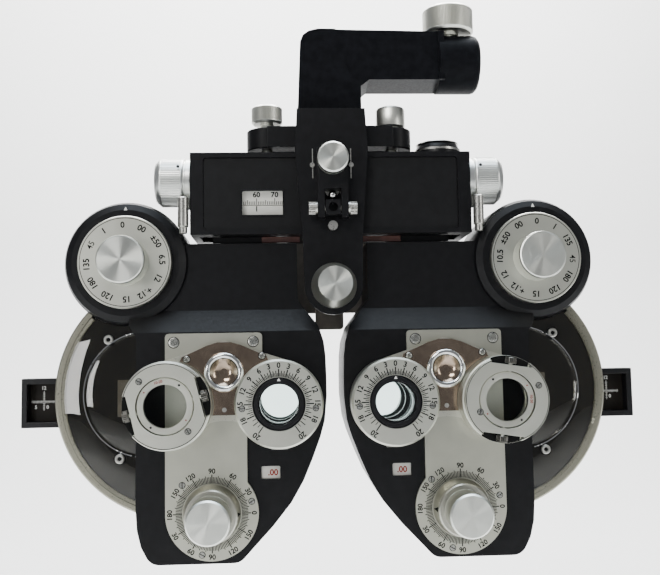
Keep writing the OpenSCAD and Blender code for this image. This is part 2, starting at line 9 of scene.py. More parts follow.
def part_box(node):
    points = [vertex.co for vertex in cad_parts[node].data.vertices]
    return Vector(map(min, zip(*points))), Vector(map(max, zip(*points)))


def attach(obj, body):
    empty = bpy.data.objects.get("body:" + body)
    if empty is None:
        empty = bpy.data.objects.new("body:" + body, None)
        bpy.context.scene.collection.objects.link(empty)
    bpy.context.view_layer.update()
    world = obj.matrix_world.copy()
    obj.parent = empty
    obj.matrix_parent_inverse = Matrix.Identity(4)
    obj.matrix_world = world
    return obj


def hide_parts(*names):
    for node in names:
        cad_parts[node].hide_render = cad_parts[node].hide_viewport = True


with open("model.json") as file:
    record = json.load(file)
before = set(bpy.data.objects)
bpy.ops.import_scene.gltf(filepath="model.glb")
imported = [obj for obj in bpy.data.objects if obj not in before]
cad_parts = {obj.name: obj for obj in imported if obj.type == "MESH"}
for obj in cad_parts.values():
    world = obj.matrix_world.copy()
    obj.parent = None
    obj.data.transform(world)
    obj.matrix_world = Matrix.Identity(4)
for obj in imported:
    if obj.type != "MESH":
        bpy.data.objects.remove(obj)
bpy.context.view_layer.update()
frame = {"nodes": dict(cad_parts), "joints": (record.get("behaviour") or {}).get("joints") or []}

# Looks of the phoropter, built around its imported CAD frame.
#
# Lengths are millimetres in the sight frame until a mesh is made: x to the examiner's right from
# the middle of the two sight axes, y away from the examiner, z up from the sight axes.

NODES = frame["nodes"]

ORIGIN = Vector((62.0, 22.0, 192.0))     # the row frame's origin, seen in the sight frame
SIDES = (("right", 1), ("left", -1))
UP, NEAR = (0, 0, 1), (0, -1, 0)         # up, and towards the examiner


def joint_at(name):
    """Place of a joint in the sight frame, in millimetres."""
    found = next(j for j in frame["joints"] if j["name"] == name)
    return Vector(found["pos_m"]) * 1000 + ORIGIN


def box_of(node):
    """Corners of a CAD node's box in the sight frame, in millimetres."""
    lo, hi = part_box(node)
    return lo * 1000 + ORIGIN, hi * 1000 + ORIGIN


def polar(at, r, a):
    """The point [x, z] at a radius and an angle round another; the angle runs from +x to +z."""
    return at[0] + r * math.cos(a), at[1] + r * math.sin(a)


def along_across(a):
    """Unit vectors along an angle and square to it."""
    return Vector((math.cos(a), math.sin(a))), Vector((-math.sin(a), math.cos(a)))


# ---------------------------------------------------------------- materials

class Look:
    """A Principled material with small helpers for procedural detail."""

    def __init__(self, name, **inputs):
        self.mat = bpy.data.materials.new(name)
        self.mat.use_nodes = True
        self.nodes, self.links = self.mat.node_tree.nodes, self.mat.node_tree.links
        self.nodes.clear()
        self.out = self.nodes.new("ShaderNodeOutputMaterial")
        self.bsdf = self.nodes.new("ShaderNodeBsdfPrincipled")
        self.links.new(self.bsdf.outputs[0], self.out.inputs[0])
        self.coord = self.nodes.new("ShaderNodeTexCoord")
        for key, value in inputs.items():
            socket = self.bsdf.inputs[key.replace("_", " ")]
            socket.default_value = (*value, 1) if isinstance(value, tuple) else value

    def add(self, kind, **settings):
        node = self.nodes.new("ShaderNode" + kind)
        for key, value in settings.items():
            if hasattr(node, key):
                setattr(node, key, value)
            else:
                node.inputs[key.replace("_", " ")].default_value = value
        return node

    def noise(self, scale, detail=3.0, stretch=(1, 1, 1)):
        mapping = self.add("Mapping")
        mapping.inputs["Scale"].default_value = stretch
        self.links.new(self.coord.outputs["Object"], mapping.inputs["Vector"])
        tex = self.add("TexNoise", Scale=scale, Detail=detail)
        self.links.new(mapping.outputs[0], tex.inputs["Vector"])
        return tex.outputs["Fac"]

    def spread(self, fac, low, high, socket):
        """Maps a 0-1 value to a range and plugs it into a number socket of the shader."""
        ramp = self.add("MapRange")
        ramp.inputs["From Min"].default_value = 0.3
        ramp.inputs["From Max"].default_value = 0.7
        ramp.inputs["To Min"].default_value = low
        ramp.inputs["To Max"].default_value = high
        self.links.new(fac, ramp.inputs["Value"])
        self.links.new(ramp.outputs[0], self.bsdf.inputs[socket])
        return self

    def tones(self, fac, low, high, at=(0.35, 0.65)):
        """A colour that wanders between two tones."""
        ramp = self.add("ValToRGB")
        for stop, place, tone in zip(ramp.color_ramp.elements, at, (low, high)):
            stop.position, stop.color = place, (*tone, 1)
        self.links.new(fac, ramp.inputs[0])
        self.links.new(ramp.outputs[0], self.bsdf.inputs["Base Color"])
        return self

    def bump(self, fac, strength, distance):
        node = self.add("Bump", Strength=strength, Distance=distance)
        self.links.new(fac, node.inputs["Height"])
        self.links.new(node.outputs[0], self.bsdf.inputs["Normal"])
        return self

    def radial(self, axis):
        """The lathe's circular brush marks round an axis through the piece's middle."""
        tangent = self.add("Tangent", direction_type="RADIAL", axis=axis)
        self.links.new(tangent.outputs[0], self.bsdf.inputs["Tangent"])
        return self


def crinkle(name, tone, rough, depth, shine=0.20):
    """Baked paint with a fine crinkled grain."""
    look = Look(name, Specular_IOR_Level=shine)
    grain = look.noise(2600, 4)
    look.tones(look.noise(240, 4), tuple(c * 0.8 for c in tone), tuple(c * 1.25 for c in tone))
    look.spread(look.noise(900, 4), rough - 0.06, rough + 0.08, "Roughness")
    return look.bump(grain, depth, 0.00015).mat


def metal(name, tone, rough, aniso=0.0, axis=None, grain=900, wander=0.10, wear=0.05,
          rough_bump=0.06):
    """A metal with wandering tone and wear; with an axis, the lathe's marks run round it."""
    look = Look(name, Metallic=1.0, Anisotropic=aniso)
    look.tones(look.noise(120, 5), tuple(c * (1 - wander) for c in tone), tone)
    look.spread(look.noise(grain, 3), rough - wear, rough + wear, "Roughness")
    if rough_bump:
        look.bump(look.noise(grain * 2.5, 2), rough_bump, 0.00003)
    return (look.radial(axis) if axis else look).mat


def two_zone(name, at, radius, inside, outside, rough):
    """One tone within a radius of an axis along Y, and a turned metal outside it."""
    look = Look(name, Metallic=0.85, Anisotropic=0.4)
    flat = look.add("VectorMath", operation="MULTIPLY_ADD")
    flat.inputs[1].default_value = (1, 0, 1)
    flat.inputs[2].default_value = (-(at[0] - ORIGIN.x) / 1000, 0, -(at[1] - ORIGIN.z) / 1000)
    look.links.new(look.coord.outputs["Object"], flat.inputs[0])
    far = look.add("VectorMath", operation="LENGTH")
    look.links.new(flat.outputs[0], far.inputs[0])
    edge = look.add("Math", operation="GREATER_THAN")
    edge.inputs[1].default_value = radius / 1000
    look.links.new(far.outputs["Value"], edge.inputs[0])
    look.tones(edge.outputs[0], inside, outside, (0.45, 0.55))
    look.spread(look.noise(1500, 3), rough - 0.04, rough + 0.06, "Roughness")
    return look.radial("Y").mat


def plain(name, tone, rough, wander=0.15, **inputs):
    """Plastic, print or flat paint whose tone and roughness wander a little."""
    look = Look(name, **inputs)
    look.tones(look.noise(300, 4), tuple(c * (1 - wander) for c in tone), tone)
    return look.spread(look.noise(700, 3), rough - 0.04, rough + 0.06, "Roughness").mat


def clear(name, tone, rough, ior=1.46):
    """Glass or clear plastic."""
    look = Look(name, Transmission_Weight=1.0, IOR=ior)
    look.tones(look.noise(60, 3), tone, tuple(min(1, c * 1.04) for c in tone))
    return look.spread(look.noise(160, 3), rough, rough + 0.004, "Roughness").mat


paint = crinkle("black_paint", (0.0040, 0.0040, 0.0048), 0.40, 0.22)
paint_soft = crinkle("black_paint_smooth", (0.0046, 0.0050, 0.0062), 0.34, 0.14)
arm_paint = crinkle("arm_paint", (0.0060, 0.0064, 0.0078), 0.42, 0.16, 0.035)
panel_paint = crinkle("panel_paint", (0.0045, 0.0045, 0.0050), 0.48, 0.16)
steel = metal("steel", (0.58, 0.57, 0.53), 0.30)
dark_steel = metal("dark_steel", (0.16, 0.155, 0.14), 0.34)
screw_metal = metal("screw_steel", (0.40, 0.40, 0.37), 0.28, rough_bump=0)
SPUN = dict(grain=500, wander=0.04, wear=0.015, rough_bump=0)
spun = metal("turned_aluminium", (0.77, 0.78, 0.72), 0.30, 0.93, "Y", **SPUN)
spun_up = metal("turned_aluminium_upright", (0.72, 0.72, 0.66), 0.30, 0.75, "Z", **SPUN)
spun_side = metal("turned_aluminium_side", (0.82, 0.83, 0.80), 0.30, 0.5, "X", **SPUN)
chrome = metal("chrome", (0.84, 0.84, 0.82), 0.08, grain=400, wear=0.02, rough_bump=0)
# The base plate's satin is darker than the same satin of the turret arm on it: painted shade that
# sets the arm off from the plate
shaded_satin = metal("satin_plate", (0.55, 0.545, 0.46), 0.36, grain=1800, wander=0.05, rough_bump=0.03)
arm_metal = metal("arm_plate", (0.70, 0.69, 0.60), 0.32, grain=1800, wander=0.05, rough_bump=0.03)
dial = metal("dial_silver", (0.60, 0.60, 0.53), 0.40, 0.3, "Y", grain=1800, wander=0.04,
             rough_bump=0.02)
knob_silver = metal("knob_silver", (0.49, 0.48, 0.42), 0.34, 0.3, "Y", grain=1800, rough_bump=0)
disc_metal = metal("disc_aluminium", (0.46, 0.46, 0.44), 0.36, 0.5, "Y")
rim_metal = metal("wheel_rim", (0.30, 0.29, 0.23), 0.30, 0.5, "Y", grain=1500)
bronze = metal("bronze_mirror", (0.44, 0.34, 0.26), 0.15, grain=300, wander=0.3, wear=0.04,
               rough_bump=0)
red_oxide = plain("red_oxide", (0.085, 0.033, 0.026), 0.45)
cream = plain("scale_white", (0.72, 0.71, 0.65), 0.35, 0.06)
pearl = plain("readout_white", (0.62, 0.60, 0.55), 0.30, 0.08)
black_plastic = plain("black_plastic", (0.005, 0.005, 0.006), 0.34, Specular_IOR_Level=0.3)
rest_plastic = plain("rest_plastic", (0.19, 0.17, 0.145), 0.55)
# Near black; behind the wheel windows it is painted shade of the inside of the head
dark_web = plain("dark_web", (0.010, 0.008, 0.006), 0.5, 0.05, Specular_IOR_Level=0.15)
label_grey = plain("label_grey", (0.20, 0.18, 0.165), 0.5)
ink = plain("ink", (0.006, 0.006, 0.006), 0.6, Specular_IOR_Level=0.1)
red_ink = plain("red_ink", (0.26, 0.03, 0.02), 0.6, Specular_IOR_Level=0.1)
white_ink = plain("white_ink", (0.78, 0.78, 0.74), 0.5, 0.05)
window_clear = clear("clear_plastic", (0.74, 0.72, 0.64), 0.01, 1.42)
lens_glass = clear("lens_glass", (0.93, 0.95, 0.94), 0.0, 1.12)
prism_glass = clear("prism_glass", (0.66, 0.80, 0.78), 0.0)
vial_liquid = clear("vial_liquid", (0.62, 0.78, 0.20), 0.03)


# ---------------------------------------------------------------- mesh building

class Shape:
    """Points and faces in sight-frame millimetres that become one piece."""

    def __init__(self, side=1):
        self.verts, self.faces, self.side = [], [], side

    def add(self, verts, faces):
        base = len(self.verts)
        self.verts += [Vector(v) for v in verts]
        self.faces += [[base + i for i in f] for f in faces]
        return self

    def lathe(self, profile, at, axis=(0, 1, 0), seg=96, ribs=0, depth=0.0, ribbed=(1, 0)):
        """Turns [radius, along] points round an axis; ribs flute the radii in the ribbed span."""
        axis = Vector(axis).normalized()
        turn = axis.to_track_quat("Z", "Y").to_matrix()
        n = ribs * 4 if ribs else seg
        verts, faces = [], []
        for r, h in profile:
            for i in range(n):
                a = 2 * math.pi * i / n
                cut = depth if ribbed[0] <= h <= ribbed[1] and i % 4 == 0 else 0.0
                rr = max(r - cut, 0.0)
                verts.append(Vector(at) + turn @ Vector((rr * math.cos(a), rr * math.sin(a), h)))
        m = len(profile)
        for k in range(m - 1):
            for i in range(n):
                j = (i + 1) % n
                faces.append((k * n + i, k * n + j, (k + 1) * n + j, (k + 1) * n + i))
        return self.add(verts, faces)

    def prism(self, outline, y0, y1):
        n = len(outline)
        verts = [(x, y, z) for y in (y0, y1) for x, z in outline]
        sides = [(i, (i + 1) % n, n + (i + 1) % n, n + i) for i in range(n)]
        return self.add(verts, [tuple(range(n)), tuple(range(2 * n - 1, n - 1, -1))] + sides)

    def box(self, lo, hi):
        x, y, z = zip(lo, hi)
        return self.prism([(x[0], z[0]), (x[1], z[0]), (x[1], z[1]), (x[0], z[1])], y[0], y[1])

    def tick(self, at, angle, r0, r1, width, y, thick=0.06):
        """A division on a dial that faces the examiner; the angle runs from +x towards +z."""
        u, v = along_across(angle)
        c = Vector(at)
        pts = [c + u * r + v * s for r, s in ((r0, -width / 2), (r1, -width / 2),
                                             (r1, width / 2), (r0, width / 2))]
        return self.prism([tuple(p) for p in pts], y - thick, y)

    def text(self, words, height, at, angle, y, thick=0.06):
        """Figures centred on [x, z] and turned by an angle, read by the examiner."""
        verts, faces = glyphs(words)
        c, s = math.cos(angle), math.sin(angle)
        out = []
        for gx, gz, back in verts:
            gx, gz = gx * height, gz * height
            out.append((at[0] + gx * c - gz * s, y - (0 if back else thick),
                        at[1] + gx * s + gz * c))
        return self.add(out, faces)

    def mirror(self):
        """Mirrors what was drawn for the right-hand side when the shape is for the left."""
        if self.side < 0:
            for v in self.verts:
                v.x = -v.x
        return self

    def piece(self, name, mat, body, slot=None, smooth=35, bevel=0.0, segments=2):
        mesh = bpy.data.meshes.new(name)
        mesh.from_pydata([tuple((v - ORIGIN) / 1000) for v in self.verts], [], self.faces)
        bm = bmesh.new()
        bm.from_mesh(mesh)
        bmesh.ops.remove_doubles(bm, verts=bm.verts, dist=1e-7)
        bmesh.ops.dissolve_degenerate(bm, edges=bm.edges, dist=1e-7)
        bmesh.ops.recalc_face_normals(bm, faces=bm.faces)
        bm.to_mesh(mesh)
        bm.free()
        mesh.polygons.foreach_set("use_smooth", [True] * len(mesh.polygons))
        mesh.set_sharp_from_angle(angle=math.radians(smooth))
        mesh.materials.append(mat)
        obj = bpy.data.objects.new(name, mesh)
        bpy.context.scene.collection.objects.link(obj)
        if bevel:
            soften(obj, bevel, segments)
        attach(obj, body)
        return obj


def soften(obj, width, segments=2, angle=28):
    """Small rounded edges, in millimetres."""
    bevel = obj.modifiers.new("edges", "BEVEL")
    bevel.width, bevel.segments, bevel.limit_method = width / 1000, segments, "ANGLE"
    bevel.angle_limit = math.radians(angle)
    bevel.harden_normals = True
    bevel.use_clamp_overlap = True


_glyphs = {}
BOLD_STROKE, THIN_STROKE = 0.028, 0.006     # added to each stroke; a 4 closes up when it is bold
CAP_HEIGHT = 0.70                           # of a figure whose font size is 1


def glyphs(words):
    """Flat solid figures of unit height, centred, as [(x, z, is_back)] and faces."""
    if words not in _glyphs:
        curve = bpy.data.curves.new("figures", "FONT")
        curve.body, curve.size, curve.extrude = words, 1.0, 0.01
        curve.offset = THIN_STROKE if "4" in words else BOLD_STROKE
        curve.resolution_u = 3
        obj = bpy.data.objects.new("figures", curve)
        bpy.context.scene.collection.objects.link(obj)
        bpy.context.view_layer.update()
        mesh = bpy.data.meshes.new_from_object(obj)
        xs = [v.co.x for v in mesh.vertices]
        cx = (min(xs) + max(xs)) / 2
        _glyphs[words] = ([((v.co.x - cx) / CAP_HEIGHT, v.co.y / CAP_HEIGHT - 0.5, v.co.z < 0)
                           for v in mesh.vertices], [tuple(p.vertices) for p in mesh.polygons])
        bpy.data.meshes.remove(mesh)
        bpy.data.objects.remove(obj)
        bpy.data.curves.remove(curve)
    return _glyphs[words]


def ring(shape, at, r0, r1, y, thick=0.06):
    """A thin ring on a face turned to the examiner; drawn black, it is painted shade of a turned
    groove.
    """
    return shape.lathe([(r0, y - thick), (r1, y - thick), (r1, y), (r0, y), (r0, y - thick)],
                       (at[0], 0, at[1]))


def pan_screw(shape, at, r, y, height=1.0, turn=0.6):
    """A domed screw head with a cross recess made of four raised quarters."""
    base = (at[0], 0, at[1])
    shape.lathe([(0, y), (r, y), (r, y - height * 0.45), (r * 0.86, y - height * 0.8),
                 (r * 0.62, y - height), (r * 0.62, y - height * 0.45), (0, y - height * 0.45)],
                base, seg=32)
    for k in range(4):
        a = turn + k * math.pi / 2
        u, v = along_across(a)
        pts = [Vector(at) + u * p * r + v * q * r for p, q in
               ((0.10, 0.10), (0.58, 0.10), (0.46, 0.46), (0.10, 0.58))]
        shape.prism([tuple(p) for p in pts], y - height, y - height * 0.4)
    return shape


def disc(shape, at, r, y, thick=0.08, seg=32):
    """A thin disc on a face turned to the examiner; a black one slightly wider than a screw head is
    painted shade of the gap round that head.
    """
    return shape.lathe([(0, y), (r, y), (r, y - thick), (0, y - thick)], (at[0], 0, at[1]), seg=seg)


def slot_screw(shape, at, r, y, turn=0.5, height=0.35):
    """A nearly flush screw head, two halves either side of its slot."""
    for half in (0, math.pi):
        pts = [polar(at, r, turn + half + math.radians(8 + i * 164 / 12)) for i in range(13)]
        shape.prism(pts, y - height, y)
    return shape


# ---------------------------------------------------------------- CAD nodes and their finish

FINISH = {
    "hanger_arm": arm_paint, "hanger_bracket": paint, "bracket_screws": steel,
    "level_yoke": paint, "level_pivot_pin": steel, "arm_clamp_knob": spun_up,
    "level_knob": spun_up, "level_lock_knob": spun_up, "rod_holder": black_plastic,
    "rod_clamp_knob": spun, "bridge_housing": paint, "bridge_front_panel": panel_paint,
    "guide_rails": steel, "spirit_level": black_plastic, "pd_screw": steel, "pd_knobs": spun_side,
    "pd_scale_plate": cream, "pd_pointer_plate": cream, "forehead_rest": rest_plastic,
    "forehead_knob": spun, "carriage": paint_soft, "convergence_lever": steel,
    "front_cover": paint, "back_cover": paint, "base_plate": shaded_satin, "wheel_window": window_clear,
    "vertex_sight": black_plastic, "sphere_wheel": rim_metal, "sphere_lenses": lens_glass,
    "aux_dial": dial, "aux_lens_disc": disc_metal, "axis_knob": knob_silver, "power_knob": spun,
    "turret_arm": arm_metal, "turret_shield": bronze, "cross_cyl_frame": dial,
    "cross_cyl_lens": dial, "prism_dial": dial, "prism_barrel": black_plastic,
    "prism_roller": dark_steel,
}
EDGES = {"hanger_arm": 0.8, "hanger_bracket": 0.5, "level_yoke": 0.8, "bridge_housing": 0.9,
         "front_cover": 0.9, "back_cover": 0.8, "base_plate": 0.4, "turret_arm": 0.6,
         "carriage": 0.5, "vertex_sight": 0.4, "rod_holder": 0.4, "forehead_rest": 0.8,
         "bridge_front_panel": 0.3, "convergence_lever": 0.2, "pd_knobs": 0.12,
         "power_knob": 0.1, "arm_clamp_knob": 0.1, "level_knob": 0.1, "rod_clamp_knob": 0.1,
         "sphere_wheel": 0.15, "aux_lens_disc": 0.15, "prism_roller": 0.08}

for name, obj in NODES.items():
    kind = name.split("_", 1)[1] if name.startswith(("left_", "right_")) else name
    obj.data.materials.clear()
    obj.data.materials.append(FINISH[kind])
    obj.data.polygons.foreach_set("material_index", [0] * len(obj.data.polygons))
    obj.data.polygons.foreach_set("use_smooth", [True] * len(obj.data.polygons))
    with bpy.context.temp_override(object=obj, active_object=obj, selected_objects=[obj]):
        if obj.data.has_custom_normals:
            bpy.ops.mesh.customdata_custom_splitnormals_clear()
    weld = obj.modifiers.new("weld", "WELD")
    weld.merge_threshold = 2e-6
    soften(obj, EDGES.get(kind, 0.15), 3 if EDGES.get(kind, 0) > 0.4 else 2)


# ---------------------------------------------------------------- heads

HEAD_BACK = 48.0            # y of the back cover
COVER_EDGE = 106.4          # |x| at which the front cover ends and the wheel window begins
WHEEL_INSIDE = 63.2         # radius just inside the knurled rim of the sphere wheel
AUX_CLEAR = 34.4            # radius kept clear round the auxiliary dial's housing
SHEET_THICK = 1.1           # of the clear sheet of the wheel window
WINDOW_DOME, DOME_RADIUS = (101.7, 5.2), 34.0       # the raised round pane in that window
WINDOW_SCREWS = ((122.4, 34.9), (116.2, -29.2))
AUX_FIGURES = {"left": "0 00 ±50 6.5 12 +.12 15 120 180 135 45 1".split(),
               "right": "0 00 ±50 10.5 12 +.12 15 120 180 45 135 1".split()}


def polar_patch(shape, at, angles, inner, outer, surface, rings=14):
    """A curved sheet between two radii that depend on the angle; surface gives y at (r, angle)."""
    n = len(angles)
    for back in (0.0, SHEET_THICK):
        verts, faces = [], []
        for k in range(rings + 1):
            for a in angles:
                r0, r1 = inner(a), outer(a)
                r = r0 + (r1 - r0) * k / rings
                x, z = polar(at, r, a)
                verts.append((x, surface(r, a) + back, z))
        for k in range(rings):
            for i in range(n - 1):
                quad = (k * n + i, k * n + i + 1, (k + 1) * n + i + 1, (k + 1) * n + i)
                faces.append(quad if back else quad[::-1])
        shape.add(verts, faces)
    half = (rings + 1) * n
    base = len(shape.verts) - 2 * half
    edge = ([(0, i) for i in range(n)] + [(k, n - 1) for k in range(1, rings + 1)]
            + [(rings, i) for i in range(n - 2, -1, -1)]
            + [(k, 0) for k in range(rings - 1, 0, -1)])
    loop = [base + k * n + i for k, i in edge]
    for a, b in zip(loop, loop[1:] + loop[:1]):
        shape.faces.append([a, b, b + half, a + half])
    return shape


def circle_entry(start, angle, centre, radius):
    """Distances along a ray from start at which it crosses a circle, or None."""
    d = Vector((math.cos(angle), math.sin(angle)))
    w = Vector(start) - Vector(centre)
    b, c = d.dot(w), w.dot(w) - radius * radius
    disc = b * b - c
    return None if disc < 0 else (-b - math.sqrt(disc), -b + math.sqrt(disc))


class Head:
    """One lens head: its side, its direction along x and the centres of its mechanisms."""

    def __init__(self, side, g):
        self.side, self.g, self.head = side, g, f"{side}_head"
        self.sight, self.unit = self.centre("prism_turn"), self.centre("cross_axis_turn")
        self.turret, self.aux = self.centre("turret_turn"), self.centre("aux_dial_turn")
        self.axis, self.wheel = self.centre("axis_turn"), self.centre("sphere_turn")

    def centre(self, name):
        """Centre of a mechanism as (x, z)."""
        p = joint_at(f"{self.side}_{name}")
        return p.x, p.z


def aux_dial(h):
    """Auxiliary dial: plate with figures and a black ring that is painted shade of a groove near
    its rim, and the spun knob in its middle.
    """
    side, g, head, aux = h.side, h.g, h.head, h.aux
    y_dial = 1.4
    body = f"{side}_aux_dial_body"
    plate = Shape().lathe([(0, 33), (4, 33), (4, 4.6), (25.2, 4.6), (25.2, 2.0), (24.8, y_dial),
                           (12.0, y_dial), (0, y_dial)], (aux[0], 0, aux[1]), seg=128)
    plate = plate.piece(f"{side}_aux_dial_plate", dial, body, "dial_silver", smooth=25)
    knob = Shape().lathe([(0, y_dial), (13.0, y_dial), (12.9, 0.6), (12.9, -10.5), (12.5, -11.3),
                          (11.9, -11.6), (0, -11.6)], (aux[0], 0, aux[1]), seg=128)
    knob = knob.piece(f"{side}_aux_knob", spun, body, "turned_aluminium", smooth=25)
    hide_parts(f"{side}_aux_dial")
    marks = Shape()
    # Black ring near the rim: painted shade of a turned groove
    ring(marks, aux, 23.75, 24.1, y_dial)
    for i, words in enumerate(AUX_FIGURES[side]):
        a = math.pi / 2 + g * (i * math.pi / 6) - g * 0.05
        marks.text(words, 3.2, polar(aux, 20.3, a), a - math.pi / 2, y_dial)
    marks.piece(f"{side}_aux_figures", ink, body)
    x, z = aux[0], aux[1] + 29.6
    mark = Shape().prism([(x - 0.9, z - 0.9), (x + 0.9, z - 0.9), (x, z + 1.0)], 4.7, 5.6)
    mark.piece(f"{side}_aux_index", white_ink, head)


def base_plate_marks(h):
    """Axis scale on the base plate, the screws that hold the plate, and painted shade round the
    screw heads.
    """
    side, g, head, axis = h.side, h.g, h.head, h.axis
    y_plate = -2.0
    scale = Shape()
    for i in range(144):
        end, width = (20.3, 0.56) if i % 12 == 0 else (19.7 if i % 4 == 0 else 19.0, 0.40)
        scale.tick(axis, i * math.pi / 72, 15.6, end, width, y_plate)
    for deg in range(0, 360, 30):
        lower = deg > 180       # these figures count from 0 again and stand the other way up
        a = math.radians(deg)
        scale.text(str(deg - 180 if lower else deg), 2.6, polar(axis, 22.1, a),
                   a + (math.pi / 2 if lower else -math.pi / 2), y_plate)
    scale.piece(f"{side}_axis_figures", ink, head)
    # Black discs a little wider than the screw heads: painted shade in the gaps round them
    screws, screw_shade = Shape(), Shape()
    for a in (16, 136, 256):
        a = math.radians(a)
        disc(screw_shade, polar(axis, 21.6, a), 1.8, y_plate)
        slot_screw(screws, polar(axis, 21.6, a), 1.5, y_plate, turn=a * 2)
    screws.piece(f"{side}_axis_screws", screw_metal, head, "steel", bevel=0.1)
    plate_screws = Shape()
    for x in (43.6, 85.7):
        disc(screw_shade, (g * x, 32.5), 3.1, y_plate)
        pan_screw(plate_screws, (g * x, 32.5), 2.7, y_plate, 0.34, turn=x)
    screw_shade.piece(f"{side}_plate_screw_shade", ink, head)
    plate_screws.piece(f"{side}_plate_screws", screw_metal, head, "chrome", bevel=0.12)


def axis_pointer(h):
    """Pointer on the bevel of the axis knob."""
    side, g, axis = h.side, h.g, h.axis
    pointer = Shape(g)
    px, pz = abs(axis[0]) - 15.0, axis[1]
    slope = [(px, -3.7, pz), (px + 1.5, -7.9, pz - 1.4), (px + 1.5, -7.9, pz + 1.4)]
    lift = Vector((-0.05, -0.06, 0))
    pointer.add([Vector(p) + lift for p in slope] + slope,
                [(0, 1, 2), (5, 4, 3), (0, 3, 4, 1), (1, 4, 5, 2), (2, 5, 3, 0)])
    pointer.mirror().piece(f"{side}_axis_pointer", ink, f"{side}_axis")


def power_readout(h):
    """Power readout behind its little window."""
    side, g, head = h.side, h.g, h.head
    at = (g * 35.0, -37.0)
    readout = Shape().box((at[0] - 5.0, 1.6, at[1] - 3.3), (at[0] + 5.0, 2.4, at[1] + 3.3))
    readout.piece(f"{side}_power_readout", pearl, head, bevel=0.15)
    digits = Shape().text(".00", 3.1, (at[0] + (1.2 if g < 0 else 0.2), at[1]), 0, 1.6)
    digits.piece(f"{side}_power_digits", red_ink, head)


def shield(h):
    """Turret: bronze shield, chrome boss and screws, with painted shade round the screw heads."""
    side, g, sight, unit, turret = h.side, h.g, h.sight, h.unit, h.turret
    body = f"{side}_turret"
    y_arm, y_shield = -5.05, -6.35      # faces of the turret arm and of the shield on it
    outline = []
    corners = [(24, 20.5), (22.3, 24.6), (9, 30.6), (3.5, 32.2), (-3.5, 32.2), (-9, 30.6),
               (-22.3, 24.6), (-24, 20.5), (-14, 4), (-6.5, 0.5), (-6.5, -6), (6.5, -6),
               (6.5, 0.5), (14, 4)]
    bite = 23.2                         # radius cut out of the shield round the two units
    centres = (abs(sight[0]), abs(unit[0]))
    for (ax, az), (bx, bz) in zip(corners, corners[1:] + corners[:1]):
        for t in range(8):
            p = Vector((abs(turret[0]) + ax + (bx - ax) * t / 8, az + (bz - az) * t / 8))
            for c in centres:
                off = p - Vector((c, 0.0))
                if off.length < bite:
                    p = Vector((c, 0.0)) + off.normalized() * bite
            outline.append(tuple(p))
    plate = Shape(g).prism(outline, y_shield, y_arm).mirror()
    plate = plate.piece(f"{side}_shield_plate", bronze, body, "bronze_mirror", bevel=0.2)
    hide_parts(f"{side}_turret_shield")
    torus = [(10.45, y_arm - 1.2)]
    for k in range(17):
        torus.append(polar((8.7, y_arm - 2.6), 1.75, -math.radians(k * 11.25)))
    torus.append((6.9, y_arm - 1.9))
    boss = Shape().lathe(torus, (turret[0], 0, turret[1]), seg=96)
    boss.piece(f"{side}_turret_boss", chrome, body, "chrome", smooth=50)
    bowl = [(7.1 * k / 8, y_arm - 1.2 - 2.6 * (k / 8) ** 2.6) for k in range(9)]
    cup = Shape().lathe(bowl, (turret[0], 0, turret[1]), seg=64)
    cup.piece(f"{side}_turret_cup", bronze, body, "bronze_mirror", smooth=80)
    # Black discs a little wider than the screw heads: painted shade in the gaps round them
    screws, screw_shade = Shape(), Shape()
    for dx, z in ((-19.6, 23.6), (19.9, 24.8)):
        disc(screw_shade, (turret[0] + dx, z), 2.0, y_shield)
        pan_screw(screws, (turret[0] + dx, z), 1.7, y_shield, 0.7, turn=dx)
    screw_shade.piece(f"{side}_shield_screw_shade", ink, body)
    screws.piece(f"{side}_shield_screws", screw_metal, body, "chrome", bevel=0.08)
    rivet = disc(Shape(), (turret[0], -3.2), 1.2, y_shield, 0.3, seg=24)
    rivet.piece(f"{side}_shield_rivet", steel, body, "steel")


